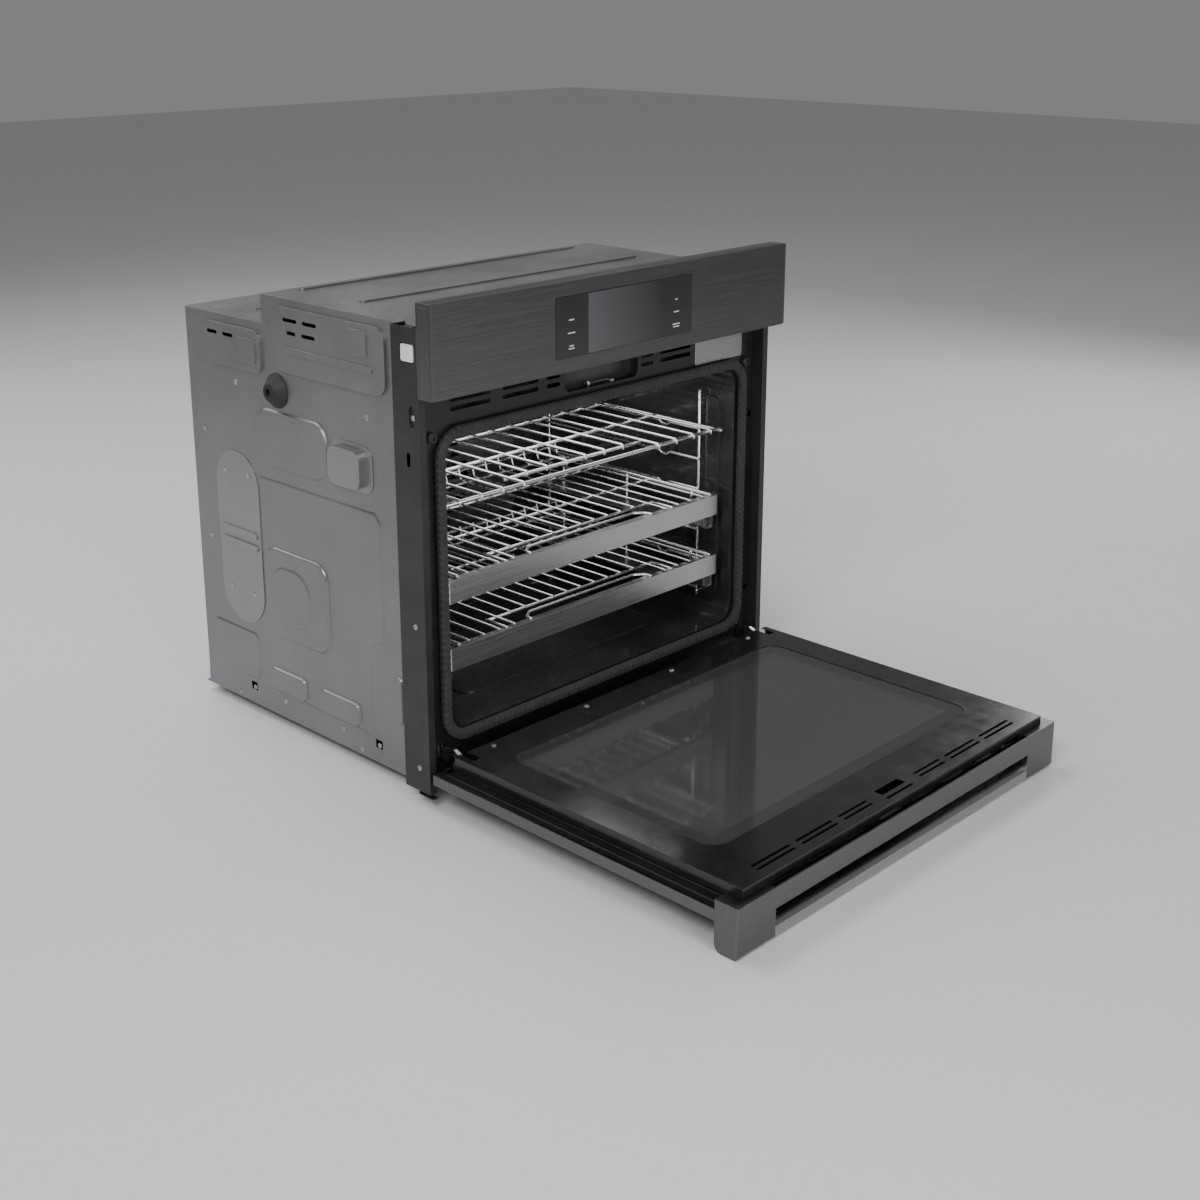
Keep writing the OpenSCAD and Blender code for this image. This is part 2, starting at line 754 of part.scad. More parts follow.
module top_rack() {
    z = rung_top + 12.3;
    color("gainsboro") {
        wire([-302, 39, z - 3.2], [302, 39, z - 3.2], 3);
        wire([-151, 79, z - 4.4], [151, 79, z - 4.4], 2.8);
        for (y = [180, 300, 396]) {
            wire([-302, y, z - 4.4], [302, y, z - 4.4], 2.8);
        }
        both() side_wire(303.4, [[34, z - 5.6], [406, z - 5.6], [413, z + 16]], 3);
        wire([-302, 412.4, z + 11.1], [302, 412.4, z + 11.1], 2.8);
        both() for (i = [0 : 6]) {
            x = (i + 0.5) * top_pitch;
            y0 = i < 3 ? 75.4 : 35.6;
            side_wire(x, [[y0, z - 7], [y0, z], [403, z], [409.4, z + 15.2]], 2.2);
        }
    }
}

// Fixed outer channels of both glide racks, clipped onto the rungs
module glide_channel(r) {
    z = r + 10;
    difference() {
        box(292, 306.8, 52, 440, z, z + 20);
        box(290, 305.3, 50, 442, z + 1.5, z + 18.5);
    }
    for (y = [100, 400]) {
        box(292, 306.8, y, y + 30, r + rung_r, z);
    }
}

module glide_channels() {
    color("gainsboro") both() {
        glide_channel(rung_low);
        glide_channel(rung_mid);
    }
}

// Intermediate members, which travel half as far as the rack
module glide_pair(r) {
    z = r + 10;
    both() difference() {
        box(294, 304.8, 56, 436, z + 2, z + 18);
        box(290, 303.3, 50, 442, z + 3.5, z + 16.5);
    }
}

// Inner members with the wide plate that carries the rack
module slide_pair(r) {
    z = r + 10;
    both() {
        box(289, 302.8, 54, 430, z + 4, z + 16);
        box(286.5, 289, 54, 430, z + 4, z + 23);
        box(225, 303, 54, 430, z + 21.5, z + 23);
    }
}

// Wire deck of a glide rack
module glide_deck(r) {
    z = r + 77;
    px = 283;
    both() {
        side_wire(px, [[38, z - 1.2], [404.6, z - 1.2], [411.6, z + 20]], 2.8);
        for (y = [80, 230, 388]) {
            translate([px, y, r + 33]) cylinder(h = 42, r = 2.6);
        }
        for (i = [0 : 8]) {
            x = (i + 0.5) * glide_pitch;
            side_wire(x, [[i < 5 ? 81 : 38, z], [402, z], [408.4, z + 20]], 1.7, 0.5);
        }
        wire([186, 86, z - 1.8], [186, 38, z - 1.8], 2.2);
    }
    w = z - 1.8;
    both() wire([136, 38, w], [111.5, 63.5, w], 2.2);
    wire([-114, 63, w], [114, 63, w], 2.2);
    wire([-186, 84, z - 3], [186, 84, z - 3], 2.4);
    for (y = [180, 300, 394]) {
        wire([-px, y, z - 3.6], [px, y, z - 3.6], 2.4);
    }
    wire([-px, 410.2, z + 14.2], [px, 410.2, z + 14.2], 2.5);
}

// Brushed front bar with folded edges and returned ends
module glide_bar(r) {
    z = r + 38;
    difference() {
        along_z(z, z + 35) rrect(-303, 303, rack_front, 76, 5);
        along_z(z + 1.5, z + 33.5) rrect(-301.5, 301.5, rack_front + 1.5, 80, 3.5);
        along_z(z - 1, z + 40) translate([-291, rack_front + 12]) square([582, 60]);
        box(-310, 310, 70, 80, z - 1, z + 40);
    }
}

module mid_glide() {
    color("silver") glide_pair(rung_mid);
}

module low_glide() {
    color("silver") glide_pair(rung_low);
}

module mid_slides() {
    color("gainsboro") slide_pair(rung_mid);
}

module low_slides() {
    color("gainsboro") slide_pair(rung_low);
}

module mid_rack() {
    color("gainsboro") glide_deck(rung_mid);
}

module low_rack() {
    color("gainsboro") glide_deck(rung_low);
}

module mid_rack_bar() {
    color("silver") glide_bar(rung_mid);
}

module low_rack_bar() {
    color("silver") glide_bar(rung_low);
}

// ---- hinges --------------------------------------------------------------------------

module hinge_receivers() {
    color("silver") both() difference() {
        box(333.6, 342.4, fy1 + 1.4, 92, 38, 74);
        box(334.8, 341.2, fy1, 90.8, 39.2, 80);
    }
}

// Fixed arm, which hooks into the receiver and carries the pin
module hinge_arms() {
    color("gainsboro") both() difference() {
        along_x(334.8, 341.2) {
            translate([hinge_y, hinge_z]) circle(r = 8);
            polygon([[-29, 44], [-27, 57], [-20, 66], [-10, 70], [2, 68.5], [14, 66], [90, 62],
                [90, 48], [4, 48], [-6, 52], [-13.8, 44]]);
        }
        translate([330, hinge_y, hinge_z]) rotate([0, 90, 0]) cylinder(h = 20, r = 4.05);
    }
}

module hinge_pins() {
    color("silver") both() translate([329, hinge_y, hinge_z]) rotate([0, 90, 0]) cylinder(h = 18, r = 4);
}

// U channel inside the door, on both sides of the arm
module hinge_channels() {
    color("silver") both() difference() {
        union() {
            box(330.5, 345.5, -250, -58, skin_in, 62);
            box(330.5, 345.5, -58, -13, skin_in, 52);
        }
        box(332, 344, -248, 0, skin_in + 1.5, 70);
        translate([325, hinge_y, hinge_z]) rotate([0, 90, 0]) cylinder(h = 25, r = 4);
    }
    color("silver") both() box(332, 344, -70, -68, skin_in, 56);
}

module hinge_springs() {
    color("gray") both() difference() {
        translate([338, -248, 45]) rotate([-90, 0, 0]) cylinder(h = 178, r = 5.6);
        translate([338, -249, 45]) rotate([-90, 0, 0]) cylinder(h = 182, r = 4);
    }
}

// ---- door ----------------------------------------------------------------------------

module door_skin() {
    color("dimgray") difference() {
        box(-wide_hw, wide_hw, skin_end, -8, skin_z, 43);
        box(-wide_hw + sheet, wide_hw - sheet, skin_end + sheet, -8 - sheet, skin_in, 43 - sheet);
        box(-360, 360, skin_end + sheet, -8 - sheet, 40, 44);
        along_z(skin_z - 1, skin_in + 1) rrect(-276, 276, -446, -112, 10);
    }
}

module door_liner() {
    color("dimgray") difference() {
        union() {
            box(-liner_hw, liner_hw, liner_y, -30, liner_in, liner_z);
            box(-liner_hw, liner_hw, liner_y, liner_y + sheet, 47.8, liner_z);
            both() box(liner_hw - sheet, liner_hw, liner_y, -30, 47.8, liner_z);
            both() box(liner_hw - sheet, 372, skin_end + 1, -30, 47.8, 49);
            both() box(372 - sheet, 372, skin_end + 1, -30, 43, 49);
            box(-liner_hw, liner_hw, liner_y, skin_end + 1, 46.6, 47.8);
        }
        along_z(liner_in - 1, liner_z + 1) rrect(-win_hw, win_hw, -473, -85, 30);
        both() box(331, 345, -58, -20, liner_in - 1, liner_z + 1);
        for (s = [-1, 1]) {
            for (a = slot_groups) {
                for (y = [-546, -536]) {
                    along_z(liner_in - 1, liner_z + 1) rrect(s > 0 ? a[0] : -a[1], s > 0 ? a[1] : -a[0], y, y + 4.6, 2.2);
                }
            }
        }
        along_z(liner_in - 1, liner_z + 1) rrect(-28, 28, -540, -525, 2);
        along_z(liner_in - 1, liner_z + 1) rrect(-32, 30, -552, -547.4, 2.2);
        for (i = [-3.5 : 1 : 3.5]) {
            along_y(liner_y - 1, liner_y + 2) rrect(i * 77 - 25, i * 77 + 25, 53.5, 58.5, 2.4);
        }
        for (p = lip_screws) {
            translate([p[0], p[1], liner_in - 1]) cylinder(h = 4, r = 2);
        }
    }
}

module inner_window() {
    color("dimgray") along_z(liner_in - 4, liner_in) rrect(-312, 312, -481, -77, 34);
}

module middle_glass() {
    color("dimgray") {
        along_z(54, 58) rrect(-288, 288, -456, -102, 4);
        along_z(42, 46) rrect(-288, 288, -456, -102, 4);
    }
}

module outer_glass() {
    color("black") along_z(skin_in, skin_in + 4) rrect(-286, 286, -456, -102, 4);
}

// Frame that holds the panes apart, split open by grooves for them
module glass_cassette() {
    color("silver") difference() {
        box(-314, 314, -483, -75, skin_in, liner_in - 4);
        box(-278, 278, -446, -112, skin_z, liner_z);
        along_z(skin_in - 1, skin_in + 4) rrect(-286.2, 286.2, -456.2, -101.8, 4);
        along_z(42, 46) rrect(-288.2, 288.2, -456.2, -101.8, 4);
        along_z(54, 58) rrect(-288.2, 288.2, -456.2, -101.8, 4);
    }
}

module door_screws() {
    color("silver") for (p = lip_screws) {
        translate([p[0], p[1], liner_z]) screw(8);
    }
}

// ---- handle --------------------------------------------------------------------------

module handle_caps() {
    color("dimgray") both() difference() {
        along_x(grip_hw, wide_hw) {
            translate([grip_y, grip_z + 12]) square([37, 57 - grip_z - 12]);
            translate([grip_y + 5, grip_z]) square([20, 14]);
            translate([grip_y + 25, grip_z + 12]) circle(r = 12);
            translate([grip_y + 5, grip_z + 5]) circle(r = 5);
            translate([grip_y, grip_z + 5]) square([10, 10]);
        }
        box(grip_hw - 1, liner_hw + 0.4, liner_y - 0.4, -530, 46, 60);
        translate([wide_hw, grip_y, -20]) rotate([0, 0, 45]) cube([2.5, 2.5, 200], center = true);
    }
}

module handle_strip() {
    color("dimgray") {
        box(-grip_hw, grip_hw, grip_y, grip_y + 3, skin_z, 57);
        box(-grip_hw, grip_hw, grip_y, skin_end, skin_z, skin_z + 3);
    }
}

module handle_bar() {
    color("gray") along_x(-grip_hw, grip_hw) intersection() {
        rrect(grip_y, grip_y + 37, grip_z, 10, 4);
        translate([grip_y + 18.5, grip_z - 3]) circle(r = 27, $fn = 96);
    }
}

module casing_screws() {
    color("silver") {
        both() for (p = concat(tray_screws, side_screws)) {
            translate([case_hw, p[0], p[1]]) rotate([0, 90, 0]) screw(6);
        }
        for (p = plate_screws) {
            translate([-case_hw - sheet, p[0], p[1]]) rotate([0, -90, 0]) screw(6);
        }
        both() for (p = trim_screws) {
            translate([trim_hw, p[0], p[1]]) rotate([0, 90, 0]) screw(6);
        }
        both() translate([trim_hw - 4 + sheet, 15, 568]) rotate([0, 90, 0]) screw(4);
    }
}

base_tray();
side_panel_left();
side_panel_right();
back_panel();
upper_cover();
front_frame();
side_trim_left();
side_trim_right();
spacer_blocks();
cavity_shell();
fan_baffle();
insulation();
door_gasket();
broil_element();
ring_element();
heat_sensor();
lamp_lens();
lamp_cover();
access_plate();
cone_grommet();
fan_motors();
blower_housing();
latch_bracket();
control_fascia();
fascia_caps();
touch_glass();
control_board();
terminal_box();
frame_bumpers();
rack_supports();
glide_channels();
hinge_receivers();
hinge_arms();
casing_screws();
convection_fan();
blower_wheel();
latch_hook();
top_rack();
mid_glide();
mid_rack();
mid_rack_bar();
mid_slides();
low_glide();
low_rack();
low_rack_bar();
low_slides();
door_skin();
door_liner();
inner_window();
middle_glass();
outer_glass();
glass_cassette();
hinge_channels();
hinge_pins();
hinge_springs();
handle_bar();
handle_strip();
handle_caps();
door_screws();
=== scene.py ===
"""The looks of the wall oven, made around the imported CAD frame. Lengths are in metres."""

import json
import math

import bpy
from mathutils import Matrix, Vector
from mathutils.geometry import tessellate_polygon


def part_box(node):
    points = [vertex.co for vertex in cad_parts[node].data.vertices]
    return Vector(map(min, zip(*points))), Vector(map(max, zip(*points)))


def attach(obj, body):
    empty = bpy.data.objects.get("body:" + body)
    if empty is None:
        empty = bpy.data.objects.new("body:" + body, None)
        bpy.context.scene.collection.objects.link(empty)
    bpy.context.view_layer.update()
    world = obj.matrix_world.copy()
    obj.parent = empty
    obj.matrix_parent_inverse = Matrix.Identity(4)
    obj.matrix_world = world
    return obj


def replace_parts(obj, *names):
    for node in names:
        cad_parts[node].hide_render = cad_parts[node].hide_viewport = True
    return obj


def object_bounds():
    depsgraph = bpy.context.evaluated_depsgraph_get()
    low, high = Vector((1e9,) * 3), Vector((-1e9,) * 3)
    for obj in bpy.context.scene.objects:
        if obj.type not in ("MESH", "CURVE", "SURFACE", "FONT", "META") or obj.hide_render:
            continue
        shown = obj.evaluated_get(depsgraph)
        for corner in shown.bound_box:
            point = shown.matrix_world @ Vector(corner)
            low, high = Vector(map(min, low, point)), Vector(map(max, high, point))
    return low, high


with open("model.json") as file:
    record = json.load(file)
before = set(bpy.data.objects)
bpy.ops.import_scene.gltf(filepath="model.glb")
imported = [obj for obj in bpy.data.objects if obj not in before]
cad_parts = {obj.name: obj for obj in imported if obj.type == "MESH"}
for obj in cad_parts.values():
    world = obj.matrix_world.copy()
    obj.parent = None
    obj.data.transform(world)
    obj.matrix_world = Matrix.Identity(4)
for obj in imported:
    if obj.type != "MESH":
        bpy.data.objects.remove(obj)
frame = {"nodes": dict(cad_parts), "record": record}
CAD_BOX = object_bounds()
MM = 0.001

# The photograph's camera: where it stands, its heading and dip, its lens on a 36 mm sensor, and
# a small part of the photograph's own downward shift
CAMERA_AT = (-1.8103, -1.7198, 1.1414)
CAMERA_TURN = 46.08
CAMERA_DIP = 16.46
CAMERA_LENS = 50.84
CAMERA_SHIFT = -0.1

# Racks and ladders, as the CAD model has them
RUNGS = (0.128, 0.181, 0.234, 0.306, 0.359, 0.412)
LOW_RUNG, MID_RUNG, TOP_RUNG = RUNGS[0], RUNGS[2], RUNGS[5]
TOP_PITCH = 0.0427
GLIDE_PITCH = 0.031


# ---- shaders ---------------------------------------------------------------

class Finish:
    """A Principled material and the helpers that add nodes to it."""

    def __init__(self, name, colour, metallic=0.0, roughness=0.5, **sockets):
        self.material = bpy.data.materials.new(name)
        self.material.use_nodes = True
        self.tree = self.material.node_tree
        self.shader = self.tree.nodes["Principled BSDF"]
        self.shader.inputs["Base Color"].default_value = (*colour, 1)
        self.shader.inputs["Metallic"].default_value = metallic
        self.shader.inputs["Roughness"].default_value = roughness
        for socket, value in sockets.items():
            self.shader.inputs[socket.replace("_", " ")].default_value = value
        self.normal = None

    def add(self, kind, links=None, values=None, **settings):
        made = self.tree.nodes.new("ShaderNode" + kind)
        for key, value in settings.items():
            setattr(made, key, value)
        for key, value in (values or {}).items():
            made.inputs[key].default_value = value
        for key, source in (links or {}).items():
            self.tree.links.new(source, made.inputs[key])
        return made

    def place(self, stretch=(1, 1, 1)):
        """The point in the row frame, stretched along each axis."""
        where = self.add("TexCoord").outputs["Object"]
        return self.add("Mapping", {"Vector": where}, {"Scale": stretch}).outputs["Vector"]

    def noise(self, scale, stretch=(1, 1, 1), detail=3.0, roughness=0.55):
        made = self.add("TexNoise", {"Vector": self.place(stretch)},
                        {"Scale": scale, "Detail": detail, "Roughness": roughness})
        return made.outputs["Fac"]

    def cells(self, scale):
        """A random colour for each cell."""
        made = self.add("TexVoronoi", {"Vector": self.place()}, {"Scale": scale})
        return made.outputs["Color"]

    def span(self, source, low, high, start=0.3, end=0.7):
        """Maps source, from start to end, to low to high."""
        made = self.add("MapRange", {"Value": source},
                        {"From Min": start, "From Max": end, "To Min": low, "To Max": high})
        return made.outputs["Result"]

    def sum(self, first, second, share=1.0):
        made = self.add("Math", {0: second, 2: first}, {1: share}, operation="MULTIPLY_ADD")
        return made.outputs["Value"]

    def tint(self, source, dark, light):
        """Base colour that runs from dark to light with source."""
        made = self.add("Mix", {0: source}, data_type="RGBA")
        made.inputs[6].default_value = (*dark, 1)
        made.inputs[7].default_value = (*light, 1)
        self.tree.links.new(made.outputs[2], self.shader.inputs["Base Color"])

    def rough(self, source, low, high, start=0.3, end=0.7):
        made = self.span(source, low, high, start, end)
        self.tree.links.new(made, self.shader.inputs["Roughness"])

    def edges(self, radius):
        """Rounded light on every edge."""
        self.normal = self.add("Bevel", values={"Radius": radius}, samples=4).outputs["Normal"]
        self.tree.links.new(self.normal, self.shader.inputs["Normal"])

    def bump(self, height, depth, strength=1.0):
        links = {"Height": height}
        if self.normal is not None:
            links["Normal"] = self.normal
        made = self.add("Bump", links, {"Strength": strength, "Distance": depth})
        self.normal = made.outputs["Normal"]
        self.tree.links.new(self.normal, self.shader.inputs["Normal"])


def brushed(name, dark, light, along, roughness, edge=0.0008):
    """Brushed steel with its grain along one axis."""
    made = Finish(name, light, 1.0, roughness, Anisotropic=0.55)
    made.edges(edge)
    coarse = [420] * 3
    fine = [1700] * 3
    coarse[along] = 2.2
    fine[along] = 16
    bands = made.noise(1.0, coarse, 3.0, 0.6)
    hair = made.noise(1.0, fine, 2.0, 0.7)
    both = made.sum(hair, bands, 0.7)
    made.tint(made.span(both, 0, 1, 0.6, 1.2), dark, light)
    made.rough(both, roughness - 0.07, roughness + 0.1, 0.55, 1.25)
    made.bump(hair, 0.00004, 0.5)
    return made.material


def galvanised(name, dark, light, roughness=0.42):
    """Zinc-coated sheet: soft spangle, faint roll marks and clouded gloss."""
    made = Finish(name, light, 0.75, roughness)
    made.edges(0.0009)
    cloud = made.noise(7, detail=4.0)
    grey = made.add("RGBToBW", {"Color": made.cells(170)}).outputs["Val"]
    shade = made.sum(cloud, grey, 0.16)
    made.tint(made.span(shade, 0, 1, 0.35, 0.85), dark, light)
    made.rough(made.sum(cloud, grey, 0.3), roughness - 0.07, roughness + 0.09, 0.35, 0.95)
    made.bump(made.sum(made.noise(260), grey, 0.1), 0.00006, 0.35)
    return made.material


def enamel(name, dark, light, roughness, edge=0.001, coat=0.35):
    """Glass-like baked enamel with orange peel and a little dust."""
    made = Finish(name, light, 0.0, roughness, Coat_Weight=coat, Coat_Roughness=0.08)
    made.edges(edge)
    cloud = made.noise(9, detail=5.0)
    made.tint(made.span(cloud, 0, 1), dark, light)
    made.rough(made.noise(38, detail=5.0), roughness - 0.05, roughness + 0.09)
    made.bump(made.noise(420, detail=1.0), 0.00006, 0.3)
    return made.material


def paint(name, dark, light, roughness, metallic=0.0, grain=900.0, depth=0.00004):
    """Powder paint or moulded plastic: fine grain, slow changes of gloss."""
    made = Finish(name, light, metallic, roughness)
    made.edges(0.0008)
    made.tint(made.span(made.noise(14, detail=4.0), 0, 1), dark, light)
    made.rough(made.noise(60, detail=4.0), roughness - 0.05, roughness + 0.08)
    made.bump(made.noise(grain, detail=2.0), depth, 0.5)
    return made.material


def plated(name, dark, light, roughness, edge=0.0):
    """Plated steel wire or sheet with faint smears."""
    made = Finish(name, light, 1.0, roughness)
    if edge:
        made.edges(edge)
    smear = made.noise(24, (1, 2.5, 1), 5.0)
    made.tint(made.span(smear, 0, 1), dark, light)
    made.rough(made.noise(90, detail=4.0), max(roughness - 0.05, 0.03), roughness + 0.08)
    made.bump(made.noise(700, detail=2.0), 0.00002, 0.4)
    return made.material


def glass(name, colour, roughness, through, coat=0.0):
    """Tinted glass; through is how much light passes."""
    sockets = {"IOR": 1.5, "Transmission_Weight": through, "Coat_Weight": coat, "Coat_Roughness": 0.02}
    made = Finish(name, colour, 0.0, roughness, **sockets)
    made.rough(made.noise(16, detail=6.0), roughness, roughness + 0.05)
    return made.material


def rope():
    """Braided glass fibre; its strands are in the mesh."""
    made = Finish("glass_fibre_rope", (0.05, 0.05, 0.05), 0.0, 0.8, Sheen_Weight=0.1)
    fibre = made.noise(1.0, (2600, 2600, 2600), 3.0)
    mixed = made.span(made.sum(fibre, made.noise(60), 0.8), 0, 1, 0.5, 1.2)
    made.tint(mixed, (0.008, 0.008, 0.008), (0.03, 0.03, 0.03))
    made.rough(fibre, 0.62, 0.9)
    made.bump(fibre, 0.0002, 0.8)
    return made.material


def wool():
    """Mineral wool with its fibres laid along X."""
    made = Finish("mineral_wool", (0.6, 0.5, 0.3), 0.0, 0.95, Sheen_Weight=0.5)
    fibre = made.noise(1.0, (60, 900, 900), 5.0, 0.7)
    made.tint(made.span(fibre, 0, 1), (0.12, 0.11, 0.09), (0.3, 0.27, 0.21))
    made.rough(fibre, 0.85, 1.0)
    made.bump(fibre, 0.002, 0.9)
    return made.material


def sheath():
    """Heater sheath: oxidised, darker where it runs hottest."""
    made = Finish("heater_sheath", (0.09, 0.08, 0.075), 0.85, 0.5)
    scale = made.noise(45, detail=6.0)
    made.tint(made.span(scale, 0, 1), (0.035, 0.03, 0.03), (0.16, 0.14, 0.13))
    made.rough(scale, 0.38, 0.62)
    made.bump(made.noise(500), 0.0001, 0.5)
    return made.material


MATERIALS = {
    "galvanised_sheet": galvanised("galvanised_sheet", (0.21, 0.213, 0.22), (0.27, 0.273, 0.282), 0.36),
    "plated_sheet": galvanised("plated_sheet", (0.26, 0.263, 0.27), (0.33, 0.333, 0.342), 0.34),
    "frame_enamel": paint("frame_enamel", (0.009, 0.009, 0.01), (0.015, 0.015, 0.017), 0.3),
    "grey_trim": paint("grey_trim", (0.02, 0.02, 0.021), (0.032, 0.032, 0.034), 0.38, metallic=0.2),
    "white_plastic": paint("white_plastic", (0.72, 0.72, 0.7), (0.85, 0.85, 0.83), 0.45),
    "cavity_enamel": enamel("cavity_enamel", (0.018, 0.018, 0.02), (0.03, 0.03, 0.034), 0.2, 0.002),
    "mineral_wool": wool(),
    "glass_fibre_rope": rope(),
    "heater_sheath": sheath(),
    "bright_steel": plated("bright_steel", (0.5, 0.5, 0.5), (0.72, 0.72, 0.72), 0.24, 0.0006),
    "lamp_glass": glass("lamp_glass", (0.85, 0.85, 0.82), 0.35, 0.6),
    "black_rubber": paint(
        "black_rubber", (0.012, 0.012, 0.012), (0.024, 0.024, 0.024), 0.62, grain=500.0, depth=0.0001),
    "motor_steel": plated("motor_steel", (0.36, 0.36, 0.37), (0.52, 0.52, 0.53), 0.38, 0.0006),
    "dark_steel": paint("dark_steel", (0.06, 0.06, 0.063), (0.1, 0.1, 0.104), 0.36, metallic=0.7),
    "graphite_steel": brushed("graphite_steel", (0.135, 0.136, 0.14), (0.18, 0.181, 0.186), 0, 0.3),
    "touch_panel": glass("touch_panel", (0.008, 0.008, 0.009), 0.06, 0.0, 1.0),
    "circuit_board": paint("circuit_board", (0.015, 0.09, 0.03), (0.03, 0.15, 0.05), 0.4),
    "chrome_wire": plated("chrome_wire", (0.8, 0.8, 0.81), (0.92, 0.92, 0.93), 0.26),
    "glide_steel": plated("glide_steel", (0.46, 0.46, 0.47), (0.64, 0.64, 0.65), 0.3, 0.0006),
    "brushed_bar": brushed("brushed_bar", (0.44, 0.44, 0.44), (0.56, 0.56, 0.555), 0, 0.3),
    "liner_enamel": enamel("liner_enamel", (0.008, 0.008, 0.009), (0.014, 0.014, 0.015), 0.2, 0.0012, 0.2),
    "window_glass": glass("window_glass", (0.32, 0.325, 0.33), 0.03, 0.85),
    "clear_glass": glass("clear_glass", (0.6, 0.63, 0.62), 0.04, 0.35, 0.6),
    "outer_black_glass": glass("outer_black_glass", (0.02, 0.02, 0.022), 0.05, 0.1, 0.5),
    "zinc_screw": plated("zinc_screw", (0.45, 0.45, 0.44), (0.62, 0.62, 0.6), 0.3, 0.0004),
}
CROSS_GRAIN = brushed("graphite_cross_grain", (0.13, 0.131, 0.135), (0.185, 0.186, 0.19), 2, 0.32)
HANDLE_GRAIN = brushed("handle_grain", (0.36, 0.362, 0.37), (0.46, 0.462, 0.47), 0, 0.26)
NODE_FINISH = {"handle_caps": CROSS_GRAIN, "fascia_caps": CROSS_GRAIN, "handle_bar": HANDLE_GRAIN}


def dress_frame():
    """Every CAD node gets the finish of its slot."""
    for part in frame["record"]["subparts"]:
        shown = frame["nodes"][part["node"]]
        finish = NODE_FINISH.get(part["node"], MATERIALS[part["material_slot"]])
        for slot in shown.material_slots:
            slot.material = finish


# ---- meshes ----------------------------------------------------------------

def piece(name, verts, faces, body, slot, finish=None, smooth=True):
    """A new mesh that rides on a body."""
    mesh = bpy.data.meshes.new(name)
    mesh.from_pydata([tuple(v) for v in verts], [], faces)
    mesh.validate()
    mesh.materials.append(finish or MATERIALS[slot])
    if smooth:
        mesh.shade_smooth()
    made = bpy.data.objects.new(name, mesh)
    bpy.context.scene.collection.objects.link(made)
    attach(made, body)
    return made


def arc(before, corner, after, radius, steps, most):
    """Points that turn a corner into an arc; most is the largest share of a side it may use."""
    back, on = before - corner, after - corner
    half = back.angle(on) / 2
    cut = min(radius / math.tan(half), most * min(back.length, on.length))
    back.normalize()
    on.normalize()
    centre = corner + (back + on).normalized() * cut / math.cos(half)
    first, last = corner + back * cut - centre, corner + on * cut - centre
    return [centre + first.slerp(last, k / steps) * first.length for k in range(steps + 1)]


def rounded(points, radius):
    """The same line with each inner corner turned into an arc."""
    points = [Vector(p) for p in points]
    line = [points[0]]
    for before, corner, after in zip(points, points[1:], points[2:]):
        line += arc(before, corner, after, radius, 5, 0.45)
    return line + [points[-1]]


class Wires:
    """Round wires gathered into one mesh."""

    def __init__(self):
        self.verts = []
        self.faces = []

    def ring(self, centre, side, up, radius, sides):
        for k in range(sides):
            turn = 2 * math.pi * k / sides
            self.verts.append(centre + (side * math.cos(turn) + up * math.sin(turn)) * radius)

    def add(self, points, radius, bend=0.005, sides=14):
        """A wire along points, with round bends and rounded ends."""
        line = rounded(points, bend)
        first = len(self.verts)
        side = (line[1] - line[0]).orthogonal().normalized()
        rings = 0
        for i, centre in enumerate(line):
            ahead = (line[min(i + 1, len(line) - 1)] - line[max(i - 1, 0)]).normalized()
            side = (side - ahead * side.dot(ahead)).normalized()
            up = ahead.cross(side)
            steps = [(0, 1)]
            if i == 0:
                steps = [(-0.3, 0.55), (-0.18, 0.85), (0, 1)]
            if i == len(line) - 1:
                steps = [(0, 1), (0.18, 0.85), (0.3, 0.55)]
            for along, share in steps:
                self.ring(centre + ahead * along * radius, side, up, radius * share, sides)
                rings += 1
        for j in range(rings - 1):
            for k in range(sides):
                a, b = first + j * sides + k, first + j * sides + (k + 1) % sides
                self.faces.append((a, b, b + sides, a + sides))
        self.faces.append(tuple(first + k for k in reversed(range(sides))))
        self.faces.append(tuple(first + (rings - 1) * sides + k for k in range(sides)))

    def weld(self, at, radius):
        """A small flattened blob where two wires are welded."""
        rows, sides = 6, 10
        first = len(self.verts)
        for j in range(1, rows):
            lift = math.pi * j / rows
            for k in range(sides):
                turn = 2 * math.pi * k / sides
                flat = math.sin(lift)
                spoke = Vector((flat * math.cos(turn), flat * math.sin(turn), 0.8 * math.cos(lift)))
                self.verts.append(Vector(at) + spoke * radius)
        for j in range(rows - 2):
            for k in range(sides):
                a, b = first + j * sides + k, first + j * sides + (k + 1) % sides
                self.faces.append((a, a + sides, b + sides, b))
        self.faces.append(tuple(first + k for k in range(sides)))
        self.faces.append(tuple(first + (rows - 2) * sides + k for k in reversed(range(sides))))

    def make(self, name, body, *nodes):
        made = piece(name, self.verts, self.faces, body, "chrome_wire")
        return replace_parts(made, *nodes)


def mirrored(points):
    return [(-x, y, z) for x, y, z in points]


def ladders():
    """Wire ladders on both side walls."""
    wires = Wires()
    post_x, rung_x, wall = 0.3095, 0.3054, 0.3178
    for side in (1, -1):
        for y in (0.088, 0.452):
            wires.add([(side * post_x, y, 0.112), (side * post_x, y, 0.478)], 0.0025)
            for z in (0.12, 0.462):
                wires.add([(side * post_x, y, z), (side * wall, y, z)], 0.002)
                wires.weld((side * post_x, y, z), 0.0034)
        for z in RUNGS:
            dip = [(0.084, 0), (0.15, 0), (0.158, -0.005), (0.168, -0.005), (0.176, 0), (0.456, 0)]
            wires.add([(side * rung_x, y, z + drop) for y, drop in dip], 0.0022, 0.004)
            for y in (0.088, 0.452):
                wires.weld((side * 0.3074, y, z), 0.0029)
    wires.make("ladder_wires", "base", "rack_supports")


